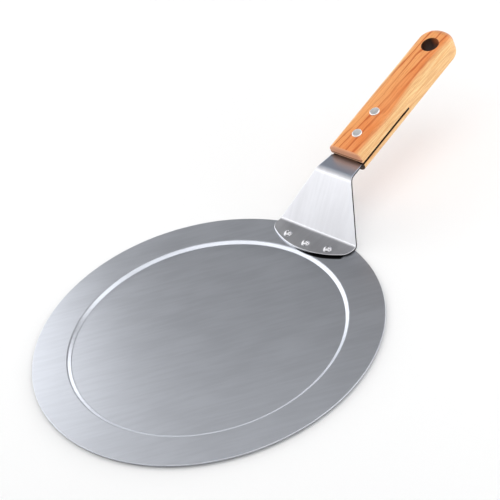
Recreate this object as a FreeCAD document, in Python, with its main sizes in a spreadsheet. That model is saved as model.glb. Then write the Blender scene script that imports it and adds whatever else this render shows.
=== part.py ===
import FreeCAD, Part
import Sketcher
import math
import os
import re

# Short-handled metal pizza peel: a round dished plate, a folded sheet-metal neck riveted to its rim,
# and a solid wood handle riveted to the neck's tang.
# Frame: origin at the plate's centre on the face that rests on the table, +Y towards the handle, +Z up.
# Lengths are in mm and angles in degrees.

DIMENSIONS = [
    # Plate
    ("plate_radius", 127.0, "outer radius of the plate, a 10 inch plate"),
    ("plate_sheet", 1.0, "sheet thickness of the plate"),
    ("recess_radius", 101.3, "radius of the flat rim ring's inner edge"),
    ("recess_depth", 2.0, "depth of the pressed centre below the rim"),
    ("recess_run", 2.5, "radial run of the recess wall"),
    ("press_radius", 1.2, "inside radius of the pressed bends in the plate"),
    ("rim_edge_radius", 0.3, "rounding of the plate's outer edge"),
    # Neck bracket
    ("bracket_sheet", 1.5, "sheet thickness of the bracket"),
    ("foot_front", 102.0, "distance from the plate centre to the front of the foot"),
    ("foot_front_radius", 64.0, "radius of the foot's bowed front edge"),
    ("foot_half_width", 37.2, "half the width of the foot"),
    ("foot_corner_radius", 9.0, "radius of the foot's front corners in plan"),
    ("foot_bend", 122.8, "distance from the plate centre to the lower bend line"),
    ("foot_bend_radius", 3.0, "inside radius of the lower bend"),
    ("shoulder_radius", 5.0, "radius in plan where the foot's sides turn into the riser's"),
    ("riser_run", 28.5, "horizontal run of the riser between its bend lines"),
    ("riser_rise", 36.4, "height of the riser between its bend lines"),
    ("crest_radius", 8.0, "outside radius of the upper bend"),
    ("crest_half_width", 16.4, "half the width of the bracket at the upper bend line"),
    ("crest_side_radius", 16.2, "radius in plan where the riser's sides turn into the neck's"),
    ("neck_tilt", 6.2, "rise of the neck above the horizontal"),
    ("neck_length", 16.1, "length of the neck from the upper bend line to the handle"),
    ("tang_tilt", 13.2, "rise of the tang and handle above the horizontal"),
    ("tang_bend_radius", 20.0, "inside radius of the slight bend where the neck meets the tang"),
    ("neck_half_width", 14.6, "half the width of the neck at the handle"),
    ("tang_half_width", 9.0, "half the width of the tang inside the handle"),
    ("tang_length", 52.0, "length of the tang inside the handle"),
    ("tang_corner_radius", 3.0, "radius of the tang's end corners"),
    # Handle, lengths along it measured from its front face
    ("handle_length", 132.0, "length of the handle"),
    ("handle_half_width", 15.1, "half the width of the handle"),
    ("handle_above", 10.15, "wood above the tang's middle plane"),
    ("handle_below", 7.65, "wood below the tang's middle plane"),
    ("handle_end_radius", 19.7, "radius of the handle's bowed end in plan"),
    ("handle_corner_radius", 13.2, "radius of the handle's end corners in plan"),
    ("handle_edge_radius", 5.0, "rounding of the handle's long edges"),
    ("nose_edge_radius", 1.0, "rounding round the handle's front face"),
    ("nose_chamfer_height", 3.4, "height of the chamfer above and below the kerf on the front face"),
    ("nose_chamfer_run", 1.1, "how far that chamfer cuts back"),
    ("kerf_chamfer", 0.4, "chamfer along the kerf's edges on the handle's sides"),
    ("kerf_height", 1.7, "height of the saw kerf that takes the tang"),
    ("kerf_length", 60.2, "length of the saw kerf"),
    ("kerf_taper", 7.0, "length over which the kerf runs out to a point"),
    ("hang_hole_radius", 6.9, "radius of the hanging hole"),
    ("hang_hole_reach", 114.4, "distance from the handle's front face to the hanging hole"),
    ("hang_hole_chamfer", 0.4, "chamfer on the rims of the hanging hole"),
    # Rivets through the foot and plate
    ("foot_rivet_row", 109.0, "distance from the plate centre to the middle one of three rivets"),
    ("foot_rivet_pitch", 19.4, "sideways distance from the middle rivet to an outer one"),
    ("foot_rivet_setback", 2.25, "how much nearer the handle the outer rivets stand"),
    ("foot_rivet_shank", 1.6, "shank radius"),
    ("foot_rivet_head", 3.4, "radius of the domed head"),
    ("foot_rivet_dome", 2.2, "height of the domed head"),
    ("foot_rivet_tail", 2.8, "radius of the formed tail under the plate"),
    ("foot_rivet_tail_height", 0.9, "height of the formed tail"),
    # Two-piece compression rivets through the handle and tang
    ("front_rivet_reach", 17.9, "distance from the handle's front face to the front rivet"),
    ("rear_rivet_reach", 40.8, "distance from the handle's front face to the rear rivet"),
    ("grip_rivet_head", 3.95, "radius of both heads"),
    ("grip_rivet_head_height", 1.6, "thickness of both heads"),
    ("grip_rivet_seat", 0.6, "depth of the seats that the heads sit in"),
    ("grip_rivet_tube", 2.5, "outer radius of the tubular half"),
    ("grip_rivet_bore", 1.8, "bore radius of the tubular half"),
    ("grip_rivet_overlap", 10.0, "length of post held inside the tube"),
    ("grip_rivet_spare_bore", 1.0, "bore left empty beyond the post's end"),
    # Play
    ("fit_gap", 0.05, "gap between parts that touch, such as a rivet and its hole"),
    ("loose_gap", 0.1, "gap where a looser fit is enough, such as the tang's holes"),
    # How far a sketch that cuts, or a blank that is trimmed, reaches past the finished part
    ("overcut", 5.0, "length or width cut away beyond the part"),
]

ALIASES = {alias for alias, value, meaning in DIMENSIONS}

SAME = 0.02          # two lengths closer than this are the same, in mm
LEAST_CUT = 0.01     # a cut that removes less than this has missed the body, in mm3

doc = FreeCAD.newDocument("pizza_peel")
dims = doc.addObject("Spreadsheet::Sheet", "Dims")
for row, (alias, value, meaning) in enumerate(DIMENSIONS, start=1):
    dims.set(f"A{row}", meaning)
    dims.set(f"B{row}", str(value))
    dims.setAlias(f"B{row}", alias)
doc.recompute()


# ---------------------------------------------------------------- formulas

def formula(text):
    """Turn a formula in dimension names into an expression on the spreadsheet."""
    return re.sub(r"[a-z]\w*", lambda m: f"Dims.{m[0]}" if m[0] in ALIASES else m[0], str(text))


def value_of(text):
    """Value of a formula now."""
    result = dims.evalExpression(formula(text))
    return float(getattr(result, "Value", result))


def drive(thing, path, text):
    """Bind one property or constraint to a formula."""
    thing.setExpression(path, formula(text))


# ---------------------------------------------------------------- sketches

def new_body(name):
    body = doc.addObject("PartDesign::Body", name)
    body.Label = name
    return body


def new_sketch(body, name, role, lift="0"):
    """Sketch on one of the body's own origin planes, lifted along the plane's normal."""
    sketch = body.newObject("Sketcher::SketchObject", name)
    plane = next(item for item in body.Origin.OriginFeatures if item.Role == role)
    sketch.AttachmentSupport = [(plane, "")]
    sketch.MapMode = "FlatFace"
    drive(sketch, "AttachmentOffset.Base.z", lift)
    return sketch


def constrain(sketch, kind, target, text):
    """Add a dimension to a sketch and bind it to a formula."""
    index = sketch.addConstraint(Sketcher.Constraint(kind, *target, value_of(text)))
    drive(sketch, f"Constraints[{index}]", text)


def nearest_end(sketch, edge, point):
    """Which end of a sketch edge lies at the point: 1 is its start and 2 its end."""
    return min((1, 2), key=lambda end: sketch.getPoint(edge, end).distanceToPoint(point))


def arc_between(start, end, radius):
    """Arc from start to end that bows to the right of its chord, or left if the radius is negative."""
    chord = end - start
    right = FreeCAD.Vector(chord.y, -chord.x, 0).normalize()
    bow = abs(radius) - math.sqrt(radius ** 2 - (chord.Length / 2) ** 2)
    return Part.Arc(start, (start + end) / 2 + right * math.copysign(bow, radius), end)


def draw_outline(sketch, corners, bowed=None):
    """Closed outline through corners given as pairs of formulas.

    An edge is straight, or an arc when bowed gives a signed radius for it by its number.
    """
    bowed = bowed or {}
    points = [FreeCAD.Vector(value_of(x), value_of(y), 0) for x, y in corners]
    count = len(points)
    edges = []
    for number in range(count):
        start = points[number]
        end = points[(number + 1) % count]
        if number in bowed:
            edges.append(sketch.addGeometry(arc_between(start, end, value_of(bowed[number]))))
        else:
            edges.append(sketch.addGeometry(Part.LineSegment(start, end)))
    for number, (x, y) in enumerate(corners):
        here = edges[number]
        before = edges[number - 1]
        here_end = nearest_end(sketch, here, points[number])
        before_end = nearest_end(sketch, before, points[number])
        sketch.addConstraint(Sketcher.Constraint("Coincident", before, before_end, here, here_end))
        constrain(sketch, "DistanceX", (here, here_end), x)
        constrain(sketch, "DistanceY", (here, here_end), y)
    for number, radius in bowed.items():
        constrain(sketch, "Radius", (edges[number],), f"abs({radius})")


def draw_circle(sketch, x, y, radius):
    centre = FreeCAD.Vector(value_of(x), value_of(y), 0)
    up = FreeCAD.Vector(0, 0, 1)
    edge = sketch.addGeometry(Part.Circle(centre, up, value_of(radius)))
    constrain(sketch, "DistanceX", (edge, 3), x)
    constrain(sketch, "DistanceY", (edge, 3), y)
    constrain(sketch, "Radius", (edge,), radius)


# ---------------------------------------------------------------- features

def pad(body, name, sketch, length, symmetric=False):
    feature = body.newObject("PartDesign::Pad", name)
    feature.Profile = sketch
    feature.SideType = "Symmetric" if symmetric else "One side"
    drive(feature, "Length", length)
    return settle(body, feature)


def pocket(body, name, sketch, depth=None, upwards=False):
    """Cut the sketch down from its plane to a depth, or up from it, or through the whole body."""
    before = body.Shape.Volume
    feature = body.newObject("PartDesign::Pocket", name)
    feature.Profile = sketch
    feature.Reversed = upwards
    if depth is None:
        feature.SideType = "Symmetric"
        feature.Type = "ThroughAll"
    else:
        drive(feature, "Length", depth)
    settle(body, feature)
    if body.Shape.Volume > before - LEAST_CUT:
        raise RuntimeError(f"{name} cuts nothing")


def revolve(body, name, sketch):
    feature = body.newObject("PartDesign::Revolution", name)
    feature.Profile = sketch
    feature.ReferenceAxis = (sketch, ["V_Axis"])
    feature.Angle = 360
    return settle(body, feature)


def soften(body, name, size, wanted, kind="Fillet"):
    """Round, or chamfer, every edge of the body that the test wants."""
    names = [f"Edge{i}" for i, edge in enumerate(body.Shape.Edges, start=1) if wanted(edge)]
    if not names:
        raise RuntimeError(f"{name} finds no edges")
    softened = body.Tip
    feature = body.newObject(f"PartDesign::{kind}", name)
    feature.Base = (softened, names)
    drive(feature, "Radius" if kind == "Fillet" else "Size", size)
    return settle(body, feature)


def settle(body, feature):
    body.Tip = feature
    doc.recompute()
    if "Invalid" in feature.State or "Error" in feature.State or feature.Shape.isNull():
        raise RuntimeError(f"{body.Label}: {feature.Name} failed")
    return feature


# ---------------------------------------------------------------- edge tests

def close(a, b):
    return abs(a - b) < SAME


def upright_edge(x, y):
    """Straight edges that stand along Z at a place in plan."""
    def wanted(edge):
        ends = [vertex.Point for vertex in edge.Vertexes]
        is_upright = len(ends) == 2 and close(ends[0].x, ends[1].x)
        return is_upright and all(close(abs(p.x), x) and close(p.y, y) for p in ends)
    return wanted


def ring_edge(radius, height):
    """Full circles about the Z axis."""
    def wanted(edge):
        if edge.Degenerated or len(edge.Vertexes) != 1 or not isinstance(edge.Curve, Part.Circle):
            return False
        return close(edge.Curve.Radius, radius) and close(edge.Curve.Center.z, height)
    return wanted


def across_edge(y, z):
    """Straight edges that run along X at a place in the side view."""
    def wanted(edge):
        ends = [vertex.Point for vertex in edge.Vertexes]
        along_x = len(ends) == 2 and not close(ends[0].x, ends[1].x)
        return along_x and all(close(p.y, y) and close(p.z, z) for p in ends)
    return wanted


def spans(edge, x, y_range):
    """Straight edges at a distance either side of the middle that lie between two Y values."""
    ends = [vertex.Point for vertex in edge.Vertexes]
    low, high = y_range
    at_side = len(ends) == 2 and all(close(abs(p.x), x) for p in ends) and close(ends[0].x, ends[1].x)
    return at_side and all(low - SAME < p.y < high + SAME for p in ends)


def runs_along_kerf(edge, x, z):
    """Straight edges on the handle's sides along the mouth of the kerf."""
    box = edge.BoundBox
    on_side = close(box.XMin, box.XMax) and close(abs(box.XMin), x)
    return on_side and box.YLength > SAME and max(abs(box.ZMin), abs(box.ZMax)) < z + SAME


def either(*tests):
    return lambda edge: any(test(edge) for test in tests)


# ---------------------------------------------------------------- plate

def foot_rivet_y(side):
    """Distance of a foot rivet from the plate centre: the outer two stand back from the middle one."""
    return f"foot_rivet_row + {abs(side)} * foot_rivet_setback"


def make_plate():
    """Round plate: a flat rim ring and a shallow pressed centre of the same sheet."""
    body = new_body("plate")
    wall_in = "(recess_radius - recess_run)"
    # The underside's bends stand further out, so that the wall keeps the sheet's thickness.
    offset = "plate_sheet * tan(atan(recess_depth / recess_run) / 2)"
    profile = new_sketch(body, "plate_profile", "XZ_Plane")
    draw_outline(profile, [
        ("0", "0"),
        (f"{wall_in} + {offset}", "0"),
        (f"recess_radius + {offset}", "recess_depth"),
        ("plate_radius", "recess_depth"),
        ("plate_radius", "recess_depth + plate_sheet"),
        ("recess_radius", "recess_depth + plate_sheet"),
        (wall_in, "plate_sheet"),
        ("0", "plate_sheet"),
    ])
    revolve(body, "plate_disc", profile)
    rim_top = value_of("recess_depth + plate_sheet")
    rim_bottom = value_of("recess_depth")
    soften(body, "plate_inside_bends", "press_radius", either(
        ring_edge(value_of(wall_in), value_of("plate_sheet")),
        ring_edge(value_of(f"recess_radius + {offset}"), rim_bottom)))
    soften(body, "plate_outside_bends", "press_radius + plate_sheet", either(
        ring_edge(value_of(f"{wall_in} + {offset}"), 0.0),
        ring_edge(value_of("recess_radius"), rim_top)))
    soften(body, "plate_outer_edge", "rim_edge_radius", either(
        ring_edge(value_of("plate_radius"), rim_bottom),
        ring_edge(value_of("plate_radius"), rim_top)))
    holes = new_sketch(body, "plate_rivet_holes_sketch", "XY_Plane")
    for side in (-1, 0, 1):
        draw_circle(holes, f"{side} * foot_rivet_pitch", foot_rivet_y(side), "foot_rivet_shank + fit_gap")
    pocket(body, "plate_rivet_holes", holes)
    return body


# ---------------------------------------------------------------- neck bracket

FOOT_TOP = "(recess_depth + plate_sheet + bracket_sheet)"
RISER_ANGLE = "atan(riser_rise / riser_run)"
NECK_TILT = "(neck_tilt * 1 deg)"
TILT = "(tang_tilt * 1 deg)"
CREST_Y = "(foot_bend + riser_run)"
CREST_Z = f"({FOOT_TOP} + riser_rise)"
NOSE_Y = f"({CREST_Y} + neck_length * cos({NECK_TILT}))"
NOSE_Z = f"({CREST_Z} + neck_length * sin({NECK_TILT}))"


def below_bend(y, z, before, after):
    """The sheet's bottom corner under a top corner, where its slope goes from one angle to another."""
    mean = f"(({before} + {after}) / 2)"
    reach = f"bracket_sheet / cos(({before} - {after}) / 2)"
    return f"{y} + {reach} * sin({mean})", f"{z} - {reach} * cos({mean})"


def make_neck_bracket():
    """Foot, riser, neck and tang, folded from one sheet."""
    body = new_body("neck_bracket")
    # Side view: the sheet's top line and, a sheet's thickness below it, its bottom line.
    foot_miter = f"bracket_sheet * tan({RISER_ANGLE} / 2)"
    under_crest = below_bend(CREST_Y, CREST_Z, RISER_ANGLE, NECK_TILT)
    under_nose = below_bend(NOSE_Y, NOSE_Z, NECK_TILT, TILT)
    tang_end_y = f"{NOSE_Y} + tang_length * cos({TILT})"
    tang_end_z = f"{NOSE_Z} + tang_length * sin({TILT})"
    profile = new_sketch(body, "bracket_profile", "YZ_Plane")
    draw_outline(profile, [
        ("foot_front - overcut", f"{FOOT_TOP} - bracket_sheet"),
        (f"foot_bend + {foot_miter}", f"{FOOT_TOP} - bracket_sheet"),
        under_crest,
        under_nose,
        (f"{tang_end_y} + bracket_sheet * sin({TILT})", f"{tang_end_z} - bracket_sheet * cos({TILT})"),
        (tang_end_y, tang_end_z),
        (NOSE_Y, NOSE_Z),
        (CREST_Y, CREST_Z),
        ("foot_bend", FOOT_TOP),
        ("foot_front - overcut", FOOT_TOP),
    ])
    pad(body, "bracket_sheet_pad", profile, "2 * (foot_half_width + overcut)", symmetric=True)
    soften(body, "bracket_inside_bends", "foot_bend_radius",
           across_edge(value_of("foot_bend"), value_of(FOOT_TOP)))
    soften(body, "bracket_foot_outer_bend", "foot_bend_radius + bracket_sheet",
           across_edge(value_of(f"foot_bend + {foot_miter}"), value_of(f"{FOOT_TOP} - bracket_sheet")))
    soften(body, "bracket_crest", "crest_radius",
           across_edge(value_of(CREST_Y), value_of(CREST_Z)))
    soften(body, "bracket_under_crest", "crest_radius - bracket_sheet",
           across_edge(*map(value_of, under_crest)))
    soften(body, "bracket_tang_bend", "tang_bend_radius",
           across_edge(value_of(NOSE_Y), value_of(NOSE_Z)))
    soften(body, "bracket_under_tang_bend", "tang_bend_radius + bracket_sheet",
           across_edge(*map(value_of, under_nose)))

    # Plan view: everything outside the outline is cut away.
    front_y = ("foot_front + foot_front_radius"
               " - sqrt(foot_front_radius ^ 2 - foot_half_width ^ 2)")
    beyond = f"{NOSE_Y} + tang_length + overcut"
    # The riser's sides sweep into the neck's on an arc between these tangent points.
    taper = "atan((foot_half_width - crest_half_width) / riser_run)"
    flare = f"atan((crest_half_width - neck_half_width) / (neck_length * cos({NECK_TILT})))"
    tangent = f"crest_side_radius * tan(({taper} - {flare}) / 2)"
    right_side = [
        ("foot_half_width", front_y),
        ("foot_half_width", "foot_bend"),
        (f"crest_half_width + {tangent} * sin({taper})", f"{CREST_Y} - {tangent} * cos({taper})"),
        (f"crest_half_width - {tangent} * sin({flare})", f"{CREST_Y} + {tangent} * cos({flare})"),
        ("neck_half_width", f"{NOSE_Y} - fit_gap"),
        ("tang_half_width", f"{NOSE_Y} - fit_gap"),
        ("tang_half_width", beyond),
    ]
    left_side = [(f"-({x})", y) for x, y in reversed(right_side)]
    plan = new_sketch(body, "bracket_plan", "XY_Plane")
    front = len(right_side) + len(left_side) - 1
    right_sweep = 2
    left_sweep = front - 1 - right_sweep
    draw_outline(plan, right_side + left_side, bowed={
        right_sweep: "-crest_side_radius",
        left_sweep: "-crest_side_radius",
        front: "foot_front_radius",
    })
    far_x = "(foot_half_width + 2 * overcut)"
    far_y = f"{beyond} + overcut"
    near_y = "foot_front - 2 * overcut"
    draw_outline(plan, [
        (far_x, near_y), (far_x, far_y), (f"-{far_x}", far_y), (f"-{far_x}", near_y),
    ])
    pocket(body, "bracket_plan_cut", plan)
    soften(body, "bracket_foot_corners", "foot_corner_radius",
           upright_edge(value_of("foot_half_width"), value_of(front_y)))
    soften(body, "bracket_shoulders", "shoulder_radius",
           upright_edge(value_of("foot_half_width"), value_of("foot_bend")))
    tang_edge = (value_of(tang_end_y), value_of(f"{tang_end_y} + bracket_sheet * sin({TILT})"))
    soften(body, "bracket_tang_corners", "tang_corner_radius",
           lambda edge: spans(edge, value_of("tang_half_width"), tang_edge))

    foot_holes = new_sketch(body, "foot_rivet_holes_sketch", "XY_Plane")
    for side in (-1, 0, 1):
        draw_circle(foot_holes, f"{side} * foot_rivet_pitch", foot_rivet_y(side),
                    "foot_rivet_shank + fit_gap")
    pocket(body, "foot_rivet_holes", foot_holes)

    tang_holes = new_sketch(body, "tang_rivet_holes_sketch", "XY_Plane")
    tilt_to_grip(tang_holes, "AttachmentOffset")
    for reach in ("front_rivet_reach", "rear_rivet_reach"):
        draw_circle(tang_holes, "0", reach, "grip_rivet_tube + loose_gap")
    pocket(body, "tang_rivet_holes", tang_holes)
    return body


# ---------------------------------------------------------------- handle

# The handle, its rivets and the tang's holes share a frame at the middle of the handle's front face,
# in the tang's middle plane, with Y along the handle.
GRIP_Y = f"({NOSE_Y} + bracket_sheet / 2 * sin({TILT}))"
GRIP_Z = f"({NOSE_Z} - bracket_sheet / 2 * cos({TILT}))"


def tilt_to_grip(thing, path, reach="0"):
    """Put an object in the handle's frame, a reach along the handle from its front face."""
    placement = getattr(thing, path)
    placement.Rotation = FreeCAD.Rotation(FreeCAD.Vector(1, 0, 0), value_of("tang_tilt"))
    setattr(thing, path, placement)
    drive(thing, f"{path}.Rotation.Angle", TILT)
    drive(thing, f"{path}.Base.y", f"{GRIP_Y} + ({reach}) * cos({TILT})")
    drive(thing, f"{path}.Base.z", f"{GRIP_Z} + ({reach}) * sin({TILT})")


def make_handle():
    """One piece of wood with a saw kerf, rivet holes with seats, and a hanging hole."""
    body = new_body("handle")
    thickness = "(handle_above + handle_below)"
    end_y = ("handle_length - handle_end_radius"
             " + sqrt(handle_end_radius ^ 2 - handle_half_width ^ 2)")
    plan = new_sketch(body, "handle_plan", "XY_Plane", lift="-handle_below")
    draw_outline(plan, [
        ("handle_half_width", "0"),
        ("handle_half_width", end_y),
        ("-handle_half_width", end_y),
        ("-handle_half_width", "0"),
    ], bowed={1: "handle_end_radius"})
    pad(body, "handle_blank", plan, thickness)
    soften(body, "handle_end_corners", "handle_corner_radius",
           upright_edge(value_of("handle_half_width"), value_of(end_y)))
    top = value_of("handle_above")
    bottom = value_of("-handle_below")

    def long_edge(edge):
        box = edge.BoundBox
        flat = close(box.ZMin, box.ZMax) and (close(box.ZMin, top) or close(box.ZMin, bottom))
        return flat and box.YMax > SAME

    soften(body, "handle_long_edges", "handle_edge_radius", long_edge)
    soften(body, "handle_nose_edges", "nose_edge_radius",
           lambda edge: close(edge.BoundBox.YMin, 0) and close(edge.BoundBox.YMax, 0))

    kerf = new_sketch(body, "kerf_sketch", "YZ_Plane")
    draw_outline(kerf, [
        ("-overcut", "-kerf_height / 2"),
        ("kerf_length - kerf_taper", "-kerf_height / 2"),
        ("kerf_length", "0"),
        ("kerf_length - kerf_taper", "kerf_height / 2"),
        ("-overcut", "kerf_height / 2"),
    ])
    pocket(body, "kerf", kerf)
    kerf_side = (value_of("handle_half_width"), value_of("kerf_height / 2"))
    soften(body, "kerf_side_chamfers", "kerf_chamfer",
           lambda edge: runs_along_kerf(edge, *kerf_side), kind="Chamfer")
    mouth = new_sketch(body, "nose_chamfer_sketch", "YZ_Plane")
    opening = "nose_chamfer_height * (1 + overcut / nose_chamfer_run)"
    draw_outline(mouth, [
        ("nose_chamfer_run", "0"),
        ("-overcut", opening),
        ("-overcut", f"-({opening})"),
    ])
    pocket(body, "nose_chamfer", mouth)

    holes = new_sketch(body, "grip_holes_sketch", "XY_Plane")
    for reach in ("front_rivet_reach", "rear_rivet_reach"):
        draw_circle(holes, "0", reach, "grip_rivet_tube + fit_gap")
    draw_circle(holes, "0", "hang_hole_reach", "hang_hole_radius")
    pocket(body, "grip_holes", holes)
    for name, height, upwards in (("top", "handle_above", False), ("bottom", "-handle_below", True)):
        seats = new_sketch(body, f"{name}_seats_sketch", "XY_Plane", lift=height)
        for reach in ("front_rivet_reach", "rear_rivet_reach"):
            draw_circle(seats, "0", reach, "grip_rivet_head + fit_gap")
        pocket(body, f"{name}_seats", seats, "grip_rivet_seat", upwards)
    hang_hole = value_of("hang_hole_radius")
    soften(body, "hang_hole_rims", "hang_hole_chamfer",
           either(ring_edge(hang_hole, top), ring_edge(hang_hole, bottom)), kind="Chamfer")
    tilt_to_grip(body, "Placement")
    return body


# ---------------------------------------------------------------- rivets

def make_foot_rivet(name, side):
    """Dome-head rivet through the foot and the plate, with its tail formed under the plate."""
    body = new_body(name)
    profile = new_sketch(body, f"{name}_profile", "XZ_Plane")
    under_plate = "-(bracket_sheet + plate_sheet)"
    tail_end = f"{under_plate} - foot_rivet_tail_height"
    dome_radius = "(foot_rivet_head ^ 2 + foot_rivet_dome ^ 2) / (2 * foot_rivet_dome)"
    draw_outline(profile, [
        ("0", tail_end),
        ("foot_rivet_tail", tail_end),
        ("foot_rivet_tail", under_plate),
        ("foot_rivet_shank", under_plate),
        ("foot_rivet_shank", "0"),
        ("foot_rivet_head", "0"),
        ("0", "foot_rivet_dome"),
    ], bowed={5: dome_radius})
    revolve(body, f"{name}_turned", profile)
    soften(body, f"{name}_tail_edge", "foot_rivet_tail_height / 2",
           ring_edge(value_of("foot_rivet_tail"), value_of(tail_end)))
    drive(body, "Placement.Base.x", f"{side} * foot_rivet_pitch")
    drive(body, "Placement.Base.y", foot_rivet_y(side))
    drive(body, "Placement.Base.z", FOOT_TOP)
    return body


HEAD_REST = "(handle_above - grip_rivet_seat)"
POST_REST = "(handle_below - grip_rivet_seat)"


def make_grip_rivet_head(name, reach):
    """Tubular half of a compression rivet, with its head on top of the handle."""
    body = new_body(name)
    profile = new_sketch(body, f"{name}_profile", "XZ_Plane")
    tube_end = f"-{POST_REST} + loose_gap"
    bore_end = f"{tube_end} + grip_rivet_overlap + grip_rivet_spare_bore"
    draw_outline(profile, [
        ("grip_rivet_bore", tube_end),
        ("grip_rivet_tube", tube_end),
        ("grip_rivet_tube", HEAD_REST),
        ("grip_rivet_head", HEAD_REST),
        ("grip_rivet_head", f"{HEAD_REST} + grip_rivet_head_height"),
        ("0", f"{HEAD_REST} + grip_rivet_head_height"),
        ("0", bore_end),
        ("grip_rivet_bore", bore_end),
    ])
    revolve(body, f"{name}_turned", profile)
    soften(body, f"{name}_edge", "grip_rivet_head_height / 2",
           ring_edge(value_of("grip_rivet_head"), value_of(f"{HEAD_REST} + grip_rivet_head_height")))
    tilt_to_grip(body, "Placement", reach)
    return body


def make_grip_rivet_post(name, reach):
    """Solid half of a compression rivet, pressed into the tube from under the handle."""
    body = new_body(name)
    profile = new_sketch(body, f"{name}_profile", "XZ_Plane")
    post = "grip_rivet_bore - fit_gap"
    head_end = f"-{POST_REST} - grip_rivet_head_height"
    draw_outline(profile, [
        ("0", head_end),
        ("grip_rivet_head", head_end),
        ("grip_rivet_head", f"-{POST_REST}"),
        (post, f"-{POST_REST}"),
        (post, f"-{POST_REST} + grip_rivet_overlap"),
        ("0", f"-{POST_REST} + grip_rivet_overlap"),
    ])
    revolve(body, f"{name}_turned", profile)
    soften(body, f"{name}_edge", "grip_rivet_head_height / 2",
           ring_edge(value_of("grip_rivet_head"), value_of(head_end)))
    tilt_to_grip(body, "Placement", reach)
    return body


# ---------------------------------------------------------------- build and write

parts = [make_plate(), make_neck_bracket(), make_handle()]
for rivet, side in (("left", -1), ("centre", 0), ("right", 1)):
    parts.append(make_foot_rivet(f"plate_rivet_{rivet}", side))
for rivet in ("front", "rear"):
    reach = f"{rivet}_rivet_reach"
    parts.append(make_grip_rivet_head(f"handle_rivet_{rivet}_head", reach))
    parts.append(make_grip_rivet_post(f"handle_rivet_{rivet}_post", reach))

doc.recompute()
for item in doc.Objects:
    if "Invalid" in item.State or "Error" in item.State:
        raise RuntimeError(f"{item.Label} is in state {item.State}")
os.makedirs("parts", exist_ok=True)
for part in parts:
    shape = part.Shape
    if shape.isNull() or not shape.isValid() or len(shape.Solids) != 1:
        raise RuntimeError(f"{part.Label} isn't one valid solid")
    shape.exportStep(f"parts/{part.Label}.step")
    print(f"{part.Label}: {shape.Volume:.1f} mm3")
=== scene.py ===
import bpy
import bmesh
import math
from mathutils import Matrix, Vector


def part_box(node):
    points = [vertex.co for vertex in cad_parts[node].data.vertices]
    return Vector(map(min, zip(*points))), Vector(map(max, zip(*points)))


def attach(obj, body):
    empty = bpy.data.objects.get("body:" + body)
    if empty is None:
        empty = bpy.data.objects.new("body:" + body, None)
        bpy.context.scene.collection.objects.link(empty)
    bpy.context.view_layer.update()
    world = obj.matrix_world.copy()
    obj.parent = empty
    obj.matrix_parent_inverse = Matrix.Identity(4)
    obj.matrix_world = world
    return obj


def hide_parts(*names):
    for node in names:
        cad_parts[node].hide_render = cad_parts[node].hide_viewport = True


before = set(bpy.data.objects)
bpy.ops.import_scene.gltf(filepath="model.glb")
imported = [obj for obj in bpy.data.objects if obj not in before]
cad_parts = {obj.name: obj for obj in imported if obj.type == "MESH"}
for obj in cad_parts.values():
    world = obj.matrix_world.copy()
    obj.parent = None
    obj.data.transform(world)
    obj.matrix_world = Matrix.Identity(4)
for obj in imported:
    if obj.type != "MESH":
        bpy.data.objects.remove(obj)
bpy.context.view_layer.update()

MM = 0.001


# ---------------------------------------------------------------- sizes in mm, as in the CAD

SHEET = 1.5                         # the bracket's thickness
FOOT_TOP = 4.5
FRONT, FRONT_RADIUS = 102.0, 64.0   # the foot's front edge, an arc
FOOT_CENTRE = FRONT + FRONT_RADIUS
HALF_FOOT, FOOT_CORNER = 37.2, 9.0
CREST_Y, CREST_Z = 151.3, 40.9      # the neck's two bends, on its top face
NOSE_Y, NOSE_Z = 167.306, 42.639
TANG = 52.0

HANDLE_FRONT = (0, 167.477, 41.909)   # middle of the handle's front face, in the tang's middle plane
HANDLE_TILT = math.radians(13.2)
HOLE_REACH = 114.4

# The picture's right, along the floor.
RIGHT_X, RIGHT_Y = 0.626, 0.780


# ---------------------------------------------------------------- mesh helpers

def rounded_line(corners, radii, arc_step=3.0, straight_step=2.0):
    """Points and left-hand normals along a line through corners, rounded at the inner ones."""
    corners = [Vector(corner) for corner in corners]
    line = []

    def add(point, heading):
        if not line or (point - line[-1][0]).length > 1e-4:
            line.append((point, Vector((-heading.y, heading.x))))

    at = corners[0]
    for number in range(1, len(corners)):
        corner = corners[number]
        heading = (corner - corners[number - 1]).normalized()
        radius = radii[number - 1] if number < len(corners) - 1 else 0
        turn = 0.0
        if radius:
            turn = heading.angle_signed((corners[number + 1] - corner).normalized())
        tangent = radius * math.tan(abs(turn) / 2)
        stop = corner - heading * tangent
        count = max(1, math.ceil((stop - at).length / straight_step))
        for step in range(count + 1):
            add(at.lerp(stop, step / count), heading)
        if radius:
            side = -math.copysign(1, turn)
            centre = stop + Vector((-heading.y, heading.x)) * radius * side
            steps = max(2, math.ceil(math.degrees(abs(turn)) / arc_step))
            for step in range(1, steps + 1):
                spin = Matrix.Rotation(-turn * step / steps, 2)
                add(centre + spin @ (stop - centre), spin @ heading)
        at = line[-1][0]
    return line


def even_normals(mesh, limit=38):
    """Shade each corner by the faces round it that turn less than the limit, weighted by area."""
    closest = math.cos(math.radians(limit))
    round_vertex = [[] for _ in mesh.vertices]
    for face in mesh.polygons:
        face.use_smooth = True
        for vertex in face.vertices:
            round_vertex[vertex].append(face)
    normals = [None] * len(mesh.loops)
    for face in mesh.polygons:
        for loop in face.loop_indices:
            total = Vector()
            for other in round_vertex[mesh.loops[loop].vertex_index]:
                if face.normal.dot(other.normal) > closest:
                    total += other.normal * other.area
            normals[loop] = total.normalized()
    mesh.normals_split_custom_set(normals)


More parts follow.
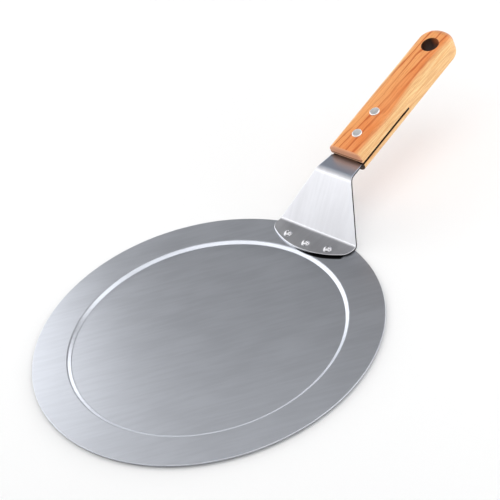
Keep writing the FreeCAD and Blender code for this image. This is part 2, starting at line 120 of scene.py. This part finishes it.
def piece(name, vertices, faces, material, node, painted_dark_edge=None):
    """Object that stands for one CAD node. Vertices are in mm, and the last argument is how much
    painted dark reflection each vertex gets.
    """
    mesh = bpy.data.meshes.new(name)
    mesh.from_pydata([Vector(v) * MM for v in vertices], [], faces)
    if painted_dark_edge:
        mesh.attributes.new("painted_dark_edge", "FLOAT", "POINT").data.foreach_set("value", painted_dark_edge)
    built = bmesh.new()
    built.from_mesh(mesh)
    bmesh.ops.remove_doubles(built, verts=built.verts, dist=0.002 * MM)
    bmesh.ops.dissolve_degenerate(built, edges=built.edges, dist=0.001 * MM)
    bmesh.ops.recalc_face_normals(built, faces=built.faces)
    built.to_mesh(mesh)
    built.free()
    even_normals(mesh)
    mesh.materials.append(material)
    made = bpy.data.objects.new(name, mesh)
    bpy.context.scene.collection.objects.link(made)
    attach(made, "root")
    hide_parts(node)
    return made


def lathe(profile, segments, place=Matrix.Identity(4)):
    """Turn a profile of (radius, height) about the Z axis of a place."""
    vertices, faces, rings = [], [], []
    for radius, height in profile:
        first = len(vertices)
        if radius < 1e-6:
            vertices.append(place @ Vector((0, 0, height)))
            rings.append([first] * segments)
            continue
        for number in range(segments):
            angle = 2 * math.pi * number / segments
            point = Vector((radius * math.cos(angle), radius * math.sin(angle), height))
            vertices.append(place @ point)
        rings.append(list(range(first, first + segments)))
    for low, high in zip(rings, rings[1:]):
        for number in range(segments):
            after = (number + 1) % segments
            corners = dict.fromkeys((low[number], low[after], high[after], high[number]))
            faces.append(tuple(corners))
    return vertices, faces


# ---------------------------------------------------------------- material helpers

class Surface:
    """One material's node tree, with short calls for laying it out."""

    MIX_FACTOR, MIX_FIRST, MIX_SECOND, MIX_COLOUR = 0, 6, 7, 2   # a Mix node's sockets for colours

    def __init__(self, name):
        self.material = bpy.data.materials.new(name)
        self.material.use_nodes = True
        self.tree = self.material.node_tree
        self.shader = self.tree.nodes["Principled BSDF"]

    def add(self, kind, inputs=None, **settings):
        node = self.tree.nodes.new(kind)
        for key, value in settings.items():
            setattr(node, key, value)
        for key, value in (inputs or {}).items():
            self.put(node.inputs[key], value)
        return node

    def put(self, socket, value):
        if isinstance(value, bpy.types.NodeSocket):
            self.tree.links.new(value, socket)
        else:
            socket.default_value = value

    def math(self, operation, *values):
        return self.add("ShaderNodeMath", dict(enumerate(values)), operation=operation).outputs[0]

    def plus(self, first, second):
        return self.math("ADD", first, second)

    def minus(self, first, second):
        return self.math("SUBTRACT", first, second)

    def times(self, first, second):
        return self.math("MULTIPLY", first, second)

    def scaled(self, vector, scale):
        return self.add("ShaderNodeVectorMath", {0: vector, 1: scale}, operation="MULTIPLY").outputs[0]

    def split(self, vector):
        return self.add("ShaderNodeSeparateXYZ", {"Vector": vector}).outputs

    def noise(self, vector, scale, detail=2.0, rough=0.5):
        inputs = {"Vector": vector, "Scale": scale, "Detail": detail, "Roughness": rough}
        return self.add("ShaderNodeTexNoise", inputs).outputs["Fac"]

    def ramp(self, value, low, high, start=0.0, end=1.0):
        """Value from low..high, eased to start..end."""
        inputs = {"Value": value, "From Min": low, "From Max": high, "To Min": start, "To Max": end}
        return self.add("ShaderNodeMapRange", inputs, interpolation_type="SMOOTHSTEP").outputs[0]

    def from_axis(self, x, y, centre):
        """Distance from an upright axis through a point on the Y axis."""
        across = self.math("POWER", x, 2)
        along = self.math("POWER", self.minus(y, centre), 2)
        return self.math("SQRT", self.plus(across, along))

    def blend(self, share, first, second):
        node = self.add("ShaderNodeMix", data_type="RGBA")
        self.put(node.inputs[self.MIX_FACTOR], share)
        self.put(node.inputs[self.MIX_FIRST], first)
        self.put(node.inputs[self.MIX_SECOND], second)
        return node.outputs[self.MIX_COLOUR]

    def bump(self, height, strength, distance):
        inputs = {"Height": height, "Strength": strength, "Distance": distance}
        normal = self.add("ShaderNodeBump", inputs).outputs[0]
        self.put(self.shader.inputs["Normal"], normal)

    def place(self):
        """Object coordinates in mm."""
        where = self.add("ShaderNodeTexCoord").outputs["Object"]
        return self.scaled(where, (1 / MM, 1 / MM, 1 / MM))

    def turned(self, degrees):
        """Object coordinates in mm, turned about Z."""
        inputs = {"Vector": self.place(), "Rotation": (0, 0, math.radians(degrees))}
        return self.add("ShaderNodeVectorRotate", inputs, rotation_type="EULER_XYZ").outputs[0]


def shaded(tint, amount):
    """The tint, darker or paler, with full alpha."""
    return tuple(min(1, channel * amount) for channel in tint) + (1,)


# ---------------------------------------------------------------- steel

# Painted cool tint, standing in for the neck's cooler reflection.
COOL_REFLECTION_TINT = (0.545, 0.615, 0.745, 1)
# Painted reflection of the handle's shaded nose, dark brown.
HANDLE_REFLECTION_SHADE = (0.115, 0.078, 0.062, 1)
# Painted dark reflection on the sheet's edges that face right.
DARK_EDGE_REFLECTION = (0.022, 0.022, 0.025, 1)
# Painted contact shadow on the plate at the foot's edge.
SEAM_SHADOW = (0.012, 0.012, 0.014, 1)


def shade_bracket(s, colour):
    """Painted light on the bracket: a cool tint on the neck for its reflection, a brown reflection of
    the handle beside it, and dark reflection on the edges that face right.
    """
    above_riser, past_crest, beside_handle = (38.0, 40.0), (151.0, 155.0), (163.4, 167.2)
    _, y, z = s.split(s.place())
    on_neck = s.ramp(z, *above_riser)
    # Painted cool tint on the neck past the crest.
    cool = s.times(s.times(s.ramp(y, *past_crest), on_neck), 0.85)
    colour = s.blend(cool, colour, COOL_REFLECTION_TINT)
    # Painted brown reflection of the handle on the neck beside it.
    handle_reflection = s.times(s.ramp(y, *beside_handle, 0.0, 0.86), on_neck)
    colour = s.blend(handle_reflection, colour, HANDLE_REFLECTION_SHADE)
    # Painted dark reflection where the bracket's edge faces right.
    dark_edge = s.add("ShaderNodeAttribute", attribute_name="painted_dark_edge").outputs["Fac"]
    return s.blend(dark_edge, colour, DARK_EDGE_REFLECTION)


def shade_seam(s, colour):
    """Painted contact shadow on the plate along the right front of the foot, widening to the right."""
    widening, widest = (-12.0, 22.0), 2.9
    right_end, back_end = (35.5, 33.0), (121.0, 117.0)
    x, y, _ = s.split(s.place())
    width = s.ramp(x, *widening, 0.0, widest)
    past_foot = s.minus(s.from_axis(x, y, FOOT_CENTRE), FRONT_RADIUS)
    dark = s.times(s.ramp(s.minus(past_foot, width), 0.5, -0.5), s.ramp(x, *right_end))
    dark = s.times(dark, s.ramp(y, *back_end))
    dark = s.times(dark, s.ramp(width, 0.1, 0.6))
    return s.blend(dark, colour, SEAM_SHADOW)


def steel(name, tint, roughness, brushed, direction, scratches, shade=None):
    """Brushed steel: fine lines along a direction, cloudy wear and a few stray scratches."""
    stray_turn, stray_depth, bump_height = 34, 0.5, 0.003 * MM
    s = Surface(name)
    along = s.turned(direction)
    fine = s.noise(s.scaled(along, (5.0, 0.13, 0.13)), 1.0, 3.0, 0.6)
    broad = s.noise(s.scaled(along, (0.32, 0.030, 0.030)), 1.0, 2.0, 0.5)
    cloud = s.noise(s.scaled(along, (0.05, 0.03, 0.05)), 1.0, 4.0, 0.55)
    stray_way = s.turned(direction + stray_turn)
    stray = s.ramp(s.noise(s.scaled(stray_way, (2.6, 0.11, 2.6)), 1.0, 1.0, 0.4), 0.70, 0.76)
    patchy = s.ramp(s.noise(stray_way, 0.045, 1.0), 0.48, 0.62)
    stray = s.times(s.times(stray, patchy), scratches)
    cloudy = s.plus(s.times(broad, 0.6), s.times(cloud, 0.4))
    colour = s.blend(s.ramp(cloudy, 0.35, 0.65), shaded(tint, 0.965), shaded(tint, 1.03))
    # Where given, shade paints reflections and shadow into the colour.
    if shade:
        colour = shade(s, colour)
    s.put(s.shader.inputs["Base Color"], colour)
    rough = s.ramp(cloudy, 0.3, 0.7, roughness - 0.012, roughness + 0.015)
    rough = s.plus(rough, s.times(fine, brushed * 0.03))
    s.put(s.shader.inputs["Roughness"], s.plus(rough, s.times(stray, 0.10)))
    s.put(s.shader.inputs["Metallic"], 1.0)
    s.bump(s.minus(s.times(fine, brushed), s.times(stray, stray_depth)), 0.5, bump_height)
    return s.material


# ---------------------------------------------------------------- wood

PALE_ORANGE = (0.92, 0.405, 0.140, 1)
DEEP_ORANGE = (0.84, 0.262, 0.070, 1)
GOLDEN = (0.96, 0.47, 0.19, 1)
RED_STREAK = (0.74, 0.215, 0.055, 1)
LATE_WOOD = (0.62, 0.125, 0.026, 1)
SAP_PALE = (0.97, 0.66, 0.32, 1)
SAP_DARK = (0.87, 0.47, 0.19, 1)
SAP_LATE = (0.66, 0.27, 0.08, 1)
FINE_RING = (0.60, 0.18, 0.045, 1)
PORE = (0.36, 0.11, 0.03, 1)
# Painted shade at the handle's underside, left edge and far end.
PAINTED_EDGE_SHADE = (0.50, 0.185, 0.065, 1)
END_PALE = (0.90, 0.46, 0.25, 1)
END_DARK = (0.66, 0.26, 0.13, 1)
# Painted highlight band on the front face.
PAINTED_LIT_BAND = (0.93, 0.55, 0.33, 1)
# Painted shade line on the front face.
PAINTED_SHADE_LINE = (0.22, 0.065, 0.022, 1)
# Painted shadow on the nose's lower half.
NOSE_SHADOW = (0.020, 0.009, 0.005, 1)
# Painted shadow inside the kerf.
KERF_SHADOW = (0.010, 0.005, 0.003, 1)
# Painted shadow and painted light on the hole's wall.
BORE_SHADOW = (0.022, 0.006, 0.002, 1)
BORE_LIT = (0.42, 0.120, 0.040, 1)


def handle_frame():
    """Place of the handle's own frame: Y runs along the handle and Z is out of its top."""
    return Matrix.Translation(HANDLE_FRONT) @ Matrix.Rotation(HANDLE_TILT, 4, "X")


def in_handle_frame(s):
    """Coordinates in the handle's own frame, in mm."""
    inputs = {0: s.place(), 1: HANDLE_FRONT}
    where = s.add("ShaderNodeVectorMath", inputs, operation="SUBTRACT").outputs[0]
    inputs = {"Vector": where, "Angle": -HANDLE_TILT}
    return s.add("ShaderNodeVectorRotate", inputs, rotation_type="X_AXIS").outputs[0]


def wood_figure(s, where, streak, pores):
    """Slanting growth rings, streaks and pores, turning to paler sapwood at the sides."""
    ring_pitch, fine_pitch = 6.4, 1.9
    x, y, z = s.split(where)
    wander = s.minus(s.noise(s.scaled(where, (0.09, 0.016, 0.09)), 1.0, 3.0, 0.5), 0.5)
    sway = s.times(wander, 11.0)
    slant = s.minus(x, s.times(y, 0.095))
    depth = s.times(s.minus(10.0, z), 0.55)
    ring = s.plus(s.plus(slant, depth), sway)
    wave = s.math("SINE", s.times(ring, 2 * math.pi / ring_pitch))
    uneven = s.ramp(s.noise(s.scaled(where, (0.11, 0.012, 0.11)), 1.0, 2.0), 0.34, 0.54, 0.35, 1.0)
    late = s.times(s.ramp(wave, 0.40, 1.0), uneven)
    fine_wave = s.math("SINE", s.times(ring, 2 * math.pi / fine_pitch))
    narrow = s.math("POWER", s.ramp(fine_wave, -1, 1), 3)
    cloud = s.noise(s.scaled(where, (0.10, 0.03, 0.10)), 1.0, 2.0)

    across = s.ramp(s.plus(slant, s.times(sway, 0.5)), -11.0, 1.0)
    heart = s.blend(across, PALE_ORANGE, DEEP_ORANGE)
    heart = s.blend(s.times(s.ramp(cloud, 0.35, 0.65), 0.35), heart, GOLDEN)
    heart = s.blend(s.times(s.ramp(streak, 0.48, 0.72), 0.55), heart, RED_STREAK)
    heart = s.blend(s.times(late, 0.95), heart, LATE_WOOD)
    sap = s.blend(s.ramp(streak, 0.35, 0.68), SAP_PALE, SAP_DARK)
    sap = s.blend(s.times(late, 0.25), sap, SAP_LATE)
    outward = s.plus(s.math("ABSOLUTE", x), s.times(wander, 9.0))
    body = s.blend(s.ramp(outward, 8.6, 13.6), heart, sap)
    body = s.blend(s.times(narrow, 0.20), body, FINE_RING)
    return s.blend(s.times(pores, 0.60), body, PORE)


def end_grain(s, where):
    """The handle's front face: mottled end grain, with a painted highlight band, a painted shade line
    above it, and a painted shadow on its lower half.
    """
    line_height, line_fade = 3.85, (0.95, 0.35)
    z = s.split(where)["Z"]
    end = s.blend(s.noise(where, 1.7, 3.0, 0.7), END_PALE, END_DARK)
    # Painted highlight band just above the kerf.
    band = s.times(s.ramp(z, 3.5, 3.1), s.ramp(z, 0.0, 0.5))
    end = s.blend(s.times(band, 0.6), end, PAINTED_LIT_BAND)
    # Painted shade line, then painted shadow on the lower half.
    line = s.ramp(s.math("ABSOLUTE", s.minus(z, line_height)), *line_fade)
    end = s.blend(s.times(line, 0.85), end, PAINTED_SHADE_LINE)
    return s.blend(s.times(s.ramp(z, -0.4, -0.8), 0.96), end, NOSE_SHADOW)


def hole_bore(s, where):
    """The hanging hole's wall: painted shadow, almost black, with painted light, browner, at the far
    right near its top.
    """
    x, y, z = s.split(where)
    far_right = s.plus(s.times(x, 0.55), s.times(s.minus(y, HOLE_REACH), 0.83))
    lit = s.times(s.ramp(far_right, 2.2, 6.2), s.ramp(z, -2.0, 7.0))
    return s.blend(lit, BORE_SHADOW, BORE_LIT)


def wood():
    """Lacquered orange-brown hardwood with pinkish end grain, painted shade at its underside, left
    edge and far end, and painted light and shade on its front face, kerf and hole.
    """
    far_end, underside, left_edge = (124.5, 130.5), (-4.6, -7.6), (-13.4, -15.0)
    front_face, kerf_half, kerf_end, hole_edge = (1.5, 0.9), (1.2, 0.90), (60.5, 60.0), (7.12, 6.96)
    pore_depth, bump_height = 0.5, 0.05 * MM
    s = Surface("handle_wood_look")
    where = in_handle_frame(s)
    x, y, z = s.split(where)
    streak = s.noise(s.scaled(where, (1.1, 0.035, 1.1)), 1.0, 3.0, 0.6)
    pores = s.ramp(s.noise(s.scaled(where, (5.5, 0.28, 5.5)), 1.0, 1.0, 0.5), 0.66, 0.76)
    body = wood_figure(s, where, streak, pores)
    # Painted shade on the underside, along the left edge and at the far end.
    outer_edges = s.math("MAXIMUM", s.ramp(z, *underside), s.ramp(x, *left_edge))
    edge_shade = s.math("MAXIMUM", s.times(outer_edges, 0.55), s.times(s.ramp(y, *far_end), 0.85))
    body = s.blend(edge_shade, body, PAINTED_EDGE_SHADE)
    body = s.blend(s.ramp(y, *front_face), body, end_grain(s, where))
    # Painted shadow inside the kerf.
    in_kerf = s.times(s.ramp(s.math("ABSOLUTE", z), *kerf_half), s.ramp(y, *kerf_end))
    body = s.blend(s.times(in_kerf, 0.98), body, KERF_SHADOW)
    # Painted shadow and light on the hole's wall.
    in_hole = s.ramp(s.from_axis(x, y, HOLE_REACH), *hole_edge, 0, 0.97)
    body = s.blend(in_hole, body, hole_bore(s, where))
    s.put(s.shader.inputs["Base Color"], body)
    s.put(s.shader.inputs["Roughness"], s.ramp(streak, 0.3, 0.7, 0.42, 0.55))
    s.put(s.shader.inputs["Specular IOR Level"], 0.28)
    s.put(s.shader.inputs["Coat Weight"], 0.06)
    s.put(s.shader.inputs["Coat Roughness"], 0.3)
    s.bump(s.minus(s.times(streak, 0.5), pores), pore_depth, bump_height)
    return s.material


# Each steel: tint, roughness, depth of brushing, its direction in degrees, scratches, and for two of
# them the painted light and shade.
PLATE_STEEL = steel("plate_steel_look", (0.650, 0.676, 0.735), 0.31, 0.8, 38, 1.0, shade_seam)
BRACKET_STEEL = steel("bracket_steel_look", (0.700, 0.705, 0.740), 0.315, 0.40, 0, 0.3, shade_bracket)
RIVET_STEEL = steel("rivet_steel_look", (0.55, 0.55, 0.57), 0.19, 0.2, 20, 0.3)
GRIP_RIVET_STEEL = steel("grip_rivet_steel_look", (0.97, 0.97, 0.98), 0.36, 0.6, 20, 0.6)
WOOD = wood()


# ---------------------------------------------------------------- plate

def make_plate():
    """Round sheet with a pressed middle: its profile, turned about the plate's axis."""
    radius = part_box("plate")[1].x / MM
    sheet, edge = 1.0, 0.3                 # thickness, and rounding of the rim
    depth, run, inner = 2.0, 2.5, 101.3    # the recess, its wall's run, and where the rim starts
    bend = 1.7
    half = sheet / 2
    slope = math.atan(depth / run)
    shift = half * math.tan(slope / 2)
    corners = [(0, half), (inner - run + shift, half), (inner + shift, depth + half),
               (radius - edge, depth + half)]
    middle = rounded_line(corners, (bend, bend), arc_step=2.5, straight_step=9.0)
    top = [(p.x + n.x * half, p.y + n.y * half) for p, n in middle]
    bottom = [(p.x - n.x * half, p.y - n.y * half) for p, n in reversed(middle)]
    rim, rim_steps = [], 8
    for step in range(1, rim_steps):
        angle = math.radians(90 - 90 * step / rim_steps)
        rim.append((radius - edge + edge * math.cos(angle),
                    depth + sheet - edge + edge * math.sin(angle)))
    lower_rim = [(r, 2 * (depth + half) - z) for r, z in reversed(rim)]
    ring = [(radius, depth + sheet - edge), (radius, depth + edge)]
    vertices, faces = lathe(top + rim + ring + lower_rim + bottom, 288)
    piece("plate_look", vertices, faces, PLATE_STEEL, "plate")


make_plate()


# ---------------------------------------------------------------- neck bracket

def ease(share):
    """0..1 with a soft start and end, for any share."""
    share = min(1.0, max(0.0, share))
    return share * share * (3 - 2 * share)


def make_bracket():
    """Foot, riser, neck and tang: one folded sheet with rounded edges."""
    straight_from, fold_y = 121.0, 122.8
    half_crest, half_neck, half_tang = 16.4, 14.6, 9.0
    shoulder, plan_front, plan_back = 0.05, 100, 230
    tang_end = (NOSE_Y + TANG * math.cos(HANDLE_TILT), NOSE_Z + TANG * math.sin(HANDLE_TILT))
    side_corners = [(straight_from, FOOT_TOP), (fold_y, FOOT_TOP), (CREST_Y, CREST_Z),
                    (NOSE_Y, NOSE_Z), tang_end]
    side = rounded_line(side_corners, (3.0, 8.0, 20.0), arc_step=3.0, straight_step=1.0)
    plan_corners = [(plan_front, HALF_FOOT), (fold_y, HALF_FOOT), (CREST_Y, half_crest),
                    (NOSE_Y - shoulder, half_neck), (NOSE_Y, half_tang), (plan_back, half_tang)]
    plan = rounded_line(plan_corners, (5.0, 16.2, 0, 0), arc_step=2.0, straight_step=3.0)

    def half_width(y):
        """Half the sheet's width at a distance along the peel."""
        for (low, _), (high, _) in zip(plan, plan[1:]):
            if low.x <= y <= high.x and high.x > low.x:
                return low.y + (high.y - low.y) * (y - low.x) / (high.x - low.x)
        return plan[-1][0].y

    widths = [half_width(point.x) for point, _ in side]
    corner_x = HALF_FOOT - FOOT_CORNER
    corner_y = FOOT_CENTRE - math.sqrt((FRONT_RADIUS - FOOT_CORNER) ** 2 - corner_x ** 2)
    corner = Vector((corner_x, corner_y))
    lean = math.asin(corner_x / (FRONT_RADIUS - FOOT_CORNER))
    arc_steps, bend_steps, foot_rows, steepest = 32, 16, 8, 0.9

    def front(inset):
        """Front outline from left to right, stood in from the sheet's edge."""
        arc, bend = [], []
        for step in range(arc_steps + 1):
            angle = lean * step / arc_steps
            reach = FRONT_RADIUS - inset
            arc.append((reach * math.sin(angle), FOOT_CENTRE - reach * math.cos(angle)))
        for step in range(1, bend_steps + 1):
            angle = lean + (math.pi / 2 - lean) * step / bend_steps
            reach = FOOT_CORNER - inset
            bend.append((corner.x + reach * math.sin(angle), corner.y - reach * math.cos(angle)))
        right = arc + bend
        return [(-x, y) for x, y in reversed(right[1:])] + right

    def sheet_rows(inset, depth):
        """Grid of points over the sheet, stood in from its edge and down from its top face."""
        rows = []
        outline = front(inset)
        last = len(outline) - 1
        back = [((2 * i / last - 1) * (HALF_FOOT - inset), straight_from) for i in range(last + 1)]
        for step in range(foot_rows):
            share = step / foot_rows
            rows.append([(a[0] + (b[0] - a[0]) * share, a[1] + (b[1] - a[1]) * share, FOOT_TOP - depth)
                         for a, b in zip(outline, back)])
        for number, (point, normal) in enumerate(side):
            near, far = max(0, number - 1), min(len(side) - 1, number + 1)
            run = (side[far][0] - side[near][0]).length
            slope = min(steepest, abs(widths[far] - widths[near]) / run)
            half = widths[number] - inset * math.sqrt(1 + slope ** 2)
            y, z = point.x - normal.x * depth, point.y - normal.y * depth
            rows.append([((2 * i / last - 1) * half, y, z) for i in range(last + 1)])
        return rows

    vertices, faces = [], []

    def add_grid(rows):
        """Faces between rows of equal length."""
        first, across = len(vertices), len(rows[0])
        for row in rows:
            vertices.extend(row)
        for r in range(len(rows) - 1):
            for c in range(across - 1):
                at = first + r * across + c
                faces.append((at, at + 1, at + across + 1, at + across))

    def border(rows):
        """The grid's outer points, once round."""
        left = [row[0] for row in rows[1:-1]]
        right = [row[-1] for row in rows[1:-1]]
        return rows[0] + right + list(reversed(rows[-1])) + list(reversed(left))

    # The edge's stops, as (inset, depth), go from the top face over two roundings to the bottom one.
    upper, upper_steps, lower, lower_steps = 0.55, 6, 0.2, 4
    darken_start, darken_fade = 0.42, 0.25
    away, away_fade = -0.88, 0.28    # edges that face away from the picture's right stay bright
    edge, edge_darkening = [], []
    for step in range(upper_steps + 1):
        angle = math.radians(90 * step / upper_steps)
        edge.append((upper * (1 - math.sin(angle)), upper * (1 - math.cos(angle))))
        edge_darkening.append(ease((step / upper_steps - darken_start) / darken_fade))
    for step in range(lower_steps + 1):
        angle = math.radians(90 * step / lower_steps)
        edge.append((lower * (1 - math.cos(angle)), SHEET - lower * (1 - math.sin(angle))))
        edge_darkening.append(1.0 if step < lower_steps else 0.0)
    add_grid(sheet_rows(*edge[0]))
    add_grid(sheet_rows(*edge[-1]))
    # Painted dark reflection on the edge loops, strongest where they face right.
    painted_dark_edge = [0.0] * len(vertices)
    loops = [border(sheet_rows(*stop)) for stop in edge]
    for loop, amount in zip(loops, edge_darkening):
        count = len(loop)
        for number, point in enumerate(loop):
            ahead, behind = loop[(number + 1) % count], loop[number - 1]
            outward = Vector((ahead[1] - behind[1], behind[0] - ahead[0]))
            facing = outward.normalized().dot(Vector((RIGHT_X, RIGHT_Y))) if outward.length else 0.0
            painted_dark_edge.append(amount * ease((facing - away) / away_fade))
        painted_dark_edge.append(painted_dark_edge[-count])
    add_grid([loop + loop[:1] for loop in loops])
    piece("bracket_look", vertices, faces, BRACKET_STEEL, "neck_bracket", painted_dark_edge)


make_bracket()


# ---------------------------------------------------------------- rivets

def make_foot_rivets():
    """Domed heads on the foot, shanks, and rounded tails under the plate."""
    head, dome, shank, tail, tail_height = 3.4, 2.2, 1.6, 2.8, 0.9
    grip, tail_round, lip, lip_inset = 2.5, 0.45, 0.12, 0.02
    dome_steps, tail_steps, segments = 16, 8, 56
    ball = (head ** 2 + dome ** 2) / (2 * dome)
    spread = math.asin(head / ball)
    profile = []
    for step in range(dome_steps + 1):
        angle = spread * step / dome_steps
        profile.append((ball * math.sin(angle), dome - ball + ball * math.cos(angle)))
    profile[-1] = (head, lip)
    profile += [(head - lip_inset, 0.0), (shank, 0.0), (shank, -grip), (tail, -grip)]
    for step in range(tail_steps + 1):
        angle = math.radians(90 * step / tail_steps)
        profile.append((tail - tail_round + tail_round * math.cos(angle),
                        -grip - tail_round - tail_round * math.sin(angle)))
    profile.append((0, -grip - tail_height))
    for name in ("left", "centre", "right"):
        node = f"plate_rivet_{name}"
        low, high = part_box(node)
        x, y = (low.x + high.x) / 2 / MM, (low.y + high.y) / 2 / MM
        place = Matrix.Translation((x, y, FOOT_TOP))
        vertices, faces = lathe(profile, segments, place)
        piece(f"{node}_look", vertices, faces, RIVET_STEEL, node)


def make_grip_rivets():
    """Slightly dished heads with rolled edges, above and below the handle."""
    radius, height, roll, seat, segments = 3.95, 1.6, 0.75, 0.6, 56
    handle_top, handle_bottom = 10.15, 7.65    # from the tang's middle plane
    dish = [(0, height - 0.13), (1.6, height - 0.12), (2.4, height - 0.07), (radius - roll, height)]
    roll_steps = 10
    halves = (("head", handle_top - seat, 1, 2.5, 16.5),
              ("post", -(handle_bottom - seat), -1, 1.75, 10.0))
    for name, reach in (("front", 17.9), ("rear", 40.8)):
        for half, rest, up, stem, length in halves:
            profile = list(dish)
            for step in range(1, roll_steps + 1):
                angle = math.radians(90 - 90 * step / roll_steps)
                profile.append((radius - roll + roll * math.cos(angle),
                                height - roll + roll * math.sin(angle)))
            profile += [(radius, 0), (stem, 0), (stem, -length), (0, -length)]
            turned = [(r, h * up) for r, h in profile]
            place = handle_frame() @ Matrix.Translation((0, reach, rest))
            vertices, faces = lathe(turned, segments, place)
            node = f"handle_rivet_{name}_{half}"
            piece(f"{node}_look", vertices, faces, GRIP_RIVET_STEEL, node)


make_foot_rivets()
make_grip_rivets()


# ---------------------------------------------------------------- handle

def finish_handle():
    """The CAD handle keeps its shape and gets the wood."""
    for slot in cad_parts["handle"].material_slots:
        slot.material = WOOD


finish_handle()


# ---------------------------------------------------------------- camera

def make_camera():
    """Camera at the photograph's viewing angle."""
    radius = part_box("plate")[1].x
    rim_under = 2 * MM    # the camera is placed from the middle of the rim's underside
    azimuth, elevation, roll = math.radians(51.27), math.radians(37.63), math.radians(-14.59)
    distance, shift_right, shift_up = 9.0061 * radius, -0.2387 * radius, -0.4598 * radius
    back = Vector((math.sin(azimuth) * math.cos(elevation),
                   -math.cos(azimuth) * math.cos(elevation),
                   math.sin(elevation)))
    right = Vector((math.cos(azimuth), math.sin(azimuth), 0))
    up = back.cross(right)
    turned_right = right * math.cos(roll) + up * math.sin(roll)
    turned_up = -right * math.sin(roll) + up * math.cos(roll)
    data = bpy.data.cameras.new("camera")
    data.sensor_width = 36
    data.lens = 116.9388
    data.clip_start = 0.01
    data.clip_end = 100
    camera = bpy.data.objects.new("camera", data)
    bpy.context.scene.collection.objects.link(camera)
    axes = Matrix((turned_right, turned_up, back)).transposed().to_4x4()
    place = -shift_right * turned_right - shift_up * turned_up + distance * back
    place.z += rim_under
    camera.matrix_world = Matrix.Translation(place) @ axes
    bpy.context.scene.camera = camera


make_camera()


# ---------------------------------------------------------------- floor

def make_floor():
    """Pale plain floor just under the plate."""
    s = Surface("floor_look")
    where = s.add("ShaderNodeTexCoord").outputs["Object"]
    speckle = s.noise(where, 900.0, 2.0)
    shade = s.blend(speckle, (0.93, 0.93, 0.93, 1), (0.96, 0.96, 0.96, 1))
    s.put(s.shader.inputs["Base Color"], shade)
    s.put(s.shader.inputs["Roughness"], s.ramp(speckle, 0.3, 0.7, 0.85, 0.95))
    s.put(s.shader.inputs["Specular IOR Level"], 0.1)
    half, level = 3.0, -0.0002
    mesh = bpy.data.meshes.new("floor")
    corners = [(-half, -half, level), (half, -half, level), (half, half, level), (-half, half, level)]
    mesh.from_pydata(corners, [], [(0, 1, 2, 3)])
    mesh.materials.append(s.material)
    floor = bpy.data.objects.new("floor", mesh)
    bpy.context.scene.collection.objects.link(floor)


make_floor()


# ---------------------------------------------------------------- lights

# A dome of softboxes in rings. A ring's key is its height above the floor and the depth of its boxes,
# both in degrees. Its boxes go round evenly from the picture's left towards its far side, and each
# has its radiance. The radiances were fitted to the photograph's brightness, between DIM and BRIGHT.
LEFT = Vector((-RIGHT_X, -RIGHT_Y, 0))
FAR = Vector((-RIGHT_Y, RIGHT_X, 0))
DOME_RADIUS = 0.9
DIM, BRIGHT, OVERHEAD = 0.12, 1.8, 1.3
SOFTBOXES = {
    (6, 14): (*[BRIGHT] * 6, 0.59, 1.49, *[DIM] * 4),
    (20, 16): (0.37, BRIGHT, BRIGHT, 0.56, *[BRIGHT] * 4, DIM, 0.46, DIM, DIM),
    (36, 16): (*[BRIGHT] * 3, *[DIM] * 3, BRIGHT, DIM, BRIGHT, *[DIM] * 3),
    (52, 16): (BRIGHT, 0.85, 0.53, 0.53, DIM, BRIGHT, BRIGHT, DIM, BRIGHT, 1.78, BRIGHT, 1.38),
    (68, 16): (OVERHEAD, DIM, 0.43, *[OVERHEAD] * 5),
    (86, 16): (OVERHEAD,),
}


def make_softbox(name, turn, height, depth, count, radiance):
    """One box of a ring of count boxes, facing the peel."""
    overhead_size = 0.35
    a, e = math.radians(turn), math.radians(height)
    at = (LEFT * math.cos(a) + FAR * math.sin(a)) * math.cos(e) * DOME_RADIUS
    at.z = math.sin(e) * DOME_RADIUS
    aim = (Vector((0, 0.03, 0)) - at).to_track_quat("-Z", "Y")
    data = bpy.data.lights.new(name, "AREA")
    data.shape = "RECTANGLE"
    data.size = data.size_y = overhead_size
    if count > 1:
        data.size = 2 * DOME_RADIUS * math.tan(math.pi / count) * math.cos(e)
        data.size_y = 2 * DOME_RADIUS * math.tan(math.radians(depth / 2))
    data.energy = math.pi * data.size * data.size_y * radiance
    lamp = bpy.data.objects.new(name, data)
    lamp.visible_camera = False
    bpy.context.scene.collection.objects.link(lamp)
    lamp.matrix_world = Matrix.Translation(at) @ aim.to_matrix().to_4x4()


def make_lights():
    """The dome of softboxes, and a faint cool surrounding light."""
    for (height, depth), ring in SOFTBOXES.items():
        for number, radiance in enumerate(ring):
            turn = 360 * number / len(ring)
            make_softbox(f"softbox_{height}_{number}", turn, height, depth, len(ring), radiance)
    world = bpy.data.worlds.new("studio")
    world.use_nodes = True
    background = world.node_tree.nodes["Background"]
    background.inputs["Color"].default_value = (0.95, 0.97, 1.0, 1)
    background.inputs["Strength"].default_value = 0.02
    bpy.context.scene.world = world
    bpy.context.scene.view_settings.view_transform = "Standard"


make_lights()
